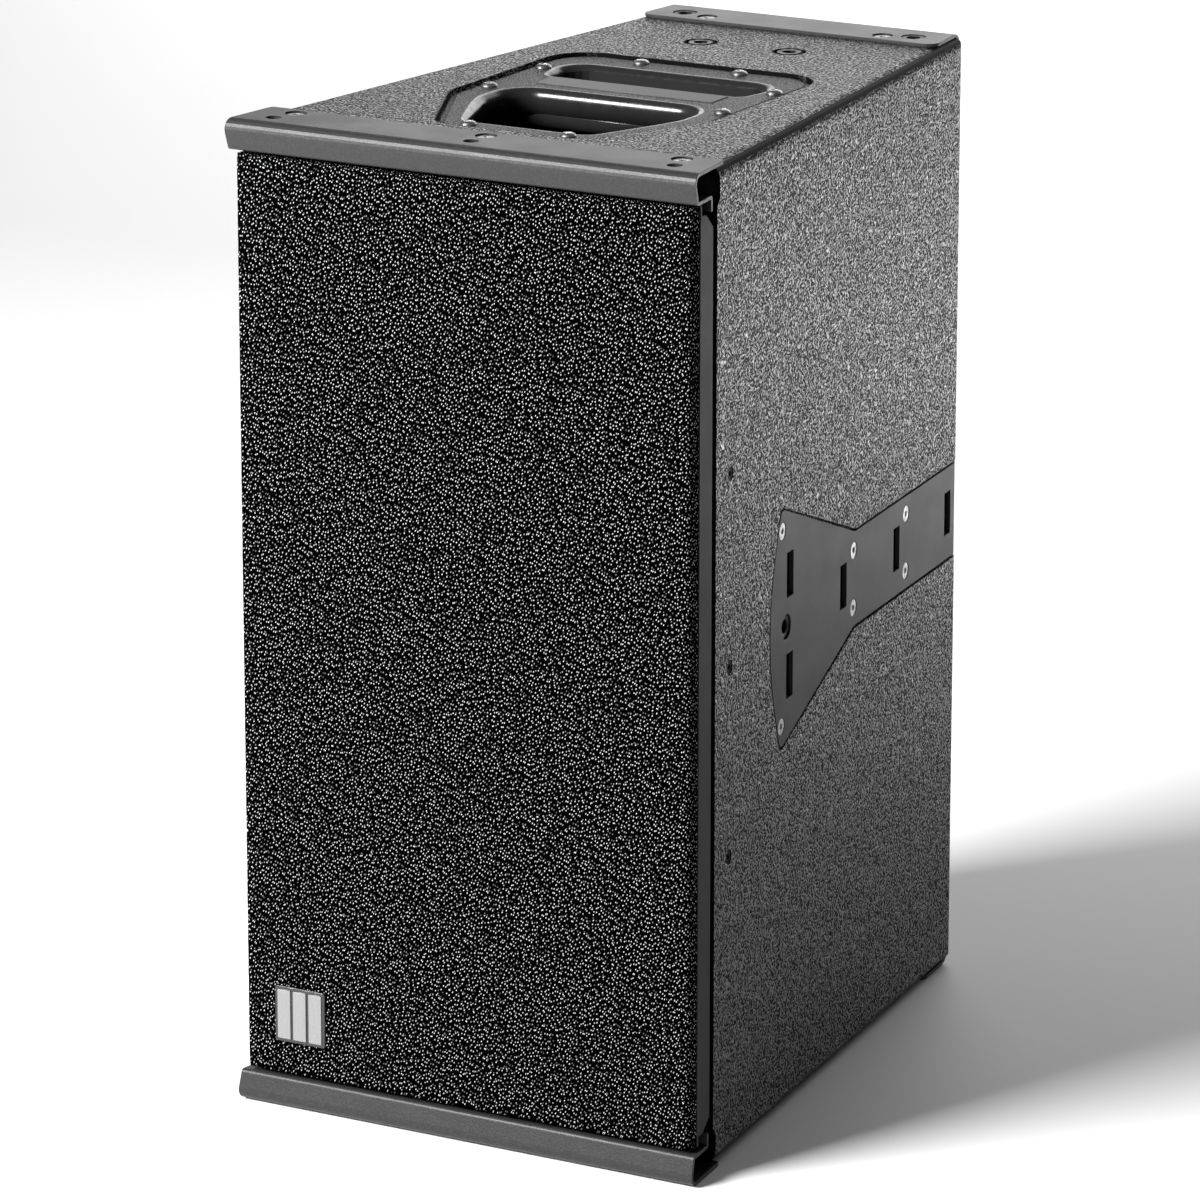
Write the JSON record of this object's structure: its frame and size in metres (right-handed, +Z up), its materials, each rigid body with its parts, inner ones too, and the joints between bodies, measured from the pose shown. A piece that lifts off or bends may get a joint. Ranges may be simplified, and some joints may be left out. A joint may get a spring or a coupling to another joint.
{
  "type": "passive two-way loudspeaker cabinet",
  "caption": "Tall tapered plywood loudspeaker with foam-faced steel grille, steel end rails, recessed bar handles, rigging plates, cone drivers and a turnable horn.",
  "frame": {"origin": "centre of the bounding box on the floor, under the cabinet", "axes": "+X to the right seen from the front, +Y from the front to the rear, +Z up; the front faces -Y"},
  "size_m": [0.3, 0.428, 0.58],
  "materials": {
    "painted_plywood": "textured impact-resistant black paint on plywood",
    "bare_plywood": "birch plywood, unpainted inside",
    "black_plywood": "plywood, painted black",
    "powder_coated_steel": "satin black powder coat, fine orange peel",
    "plate_steel": "smooth satin black coat",
    "zinc_screws": "passivated zinc",
    "insert_steel": "dark zinc",
    "grille_steel": "satin dark powder coat",
    "acoustic_foam": "open-cell reticulated foam, black",
    "badge_metal": "satin plate in a dark frame",
    "handle_plastic": "moulded black plastic with fine grain and smooth lips",
    "label_film": "blank dark grey film",
    "socket_plastic": "moulded black plastic",
    "damping_wool": "grey polyester wadding",
    "port_plastic": "black moulded tube",
    "circuit_board": "green lacquered board",
    "copper_wire": "enamelled copper",
    "capacitor_film": "blue sleeve",
    "wire_insulation": "red PVC",
    "cast_aluminium": "black coated casting",
    "magnet_ferrite": "ferrite between zinc-plated plates",
    "paper_cone": "black coated paper",
    "surround_rubber": "black rubber roll",
    "spider_cloth": "resin-treated corrugated cloth",
    "coil_copper": "copper winding on a former",
    "horn_plastic": "moulded black horn",
    "driver_metal": "satin grey casting"
  },
  "bodies": {
    "cabinet": {"top_panel": "painted_plywood", "bottom_panel": "painted_plywood", "left_side_panel": "painted_plywood", "right_side_panel": "painted_plywood", "rear_panel": "painted_plywood", "front_baffle": "black_plywood", "center_brace": "bare_plywood", "damping_mat": "damping_wool", "port_tubes": "port_plastic", "front_top_rail": "powder_coated_steel", "front_bottom_rail": "powder_coated_steel", "rear_top_strip": "powder_coated_steel", "rear_bottom_strip": "powder_coated_steel", "rail_screws": "zinc_screws", "strip_screws": "zinc_screws", "grille_panel": "grille_steel", "grille_foam": "acoustic_foam", "grille_screws": "zinc_screws", "badge": "badge_metal", "top_handle_frame": "handle_plastic", "bottom_handle_frame": "handle_plastic", "top_handle_cup": "handle_plastic", "bottom_handle_cup": "handle_plastic", "handle_labels": "label_film", "handle_screws": "zinc_screws", "left_rigging_plate": "plate_steel", "right_rigging_plate": "plate_steel", "rear_strap": "plate_steel", "rigging_screws": "zinc_screws", "threaded_inserts": "insert_steel", "side_edge_screws": "zinc_screws", "connector_plate": "plate_steel", "speaker_sockets": "socket_plastic", "connector_screws": "zinc_screws", "crossover_board": "circuit_board", "crossover_coils": "copper_wire", "crossover_capacitors": "capacitor_film", "internal_wiring": "wire_insulation", "woofer_screws": "zinc_screws", "horn_carrier": "powder_coated_steel", "horn_clamp_ring": "powder_coated_steel", "clamp_screws": "zinc_screws", "upper_basket": "cast_aluminium", "upper_magnet": "magnet_ferrite", "upper_surround": "surround_rubber", "upper_spider": "spider_cloth", "lower_basket": "cast_aluminium", "lower_magnet": "magnet_ferrite", "lower_surround": "surround_rubber", "lower_spider": "spider_cloth"},
    "upper_cone_body": {"upper_cone": "paper_cone", "upper_dust_cap": "paper_cone", "upper_voice_coil": "coil_copper"},
    "lower_cone_body": {"lower_cone": "paper_cone", "lower_dust_cap": "paper_cone", "lower_voice_coil": "coil_copper"},
    "horn_body": {"hf_horn": "horn_plastic", "compression_driver": "driver_metal", "driver_cap": "horn_plastic"}
  },
  "joints": [
    {"name": "upper_cone_travel", "type": "slide", "parent": "cabinet", "child": "upper_cone_body", "axis": [0, -1, 0], "range_m": [-0.006, 0.006], "stiffness_N_per_m": 3000, "deforming": ["upper_surround", "upper_spider"]},
    {"name": "lower_cone_travel", "type": "slide", "parent": "cabinet", "child": "lower_cone_body", "axis": [0, -1, 0], "range_m": [-0.006, 0.006], "stiffness_N_per_m": 3000, "deforming": ["lower_surround", "lower_spider"]},
    {"name": "horn_turn", "type": "hinge", "parent": "cabinet", "child": "horn_body", "pos_m": [0, -0.193, 0.29], "axis": [0, 1, 0], "range_deg": [0, 90]}
  ]
}
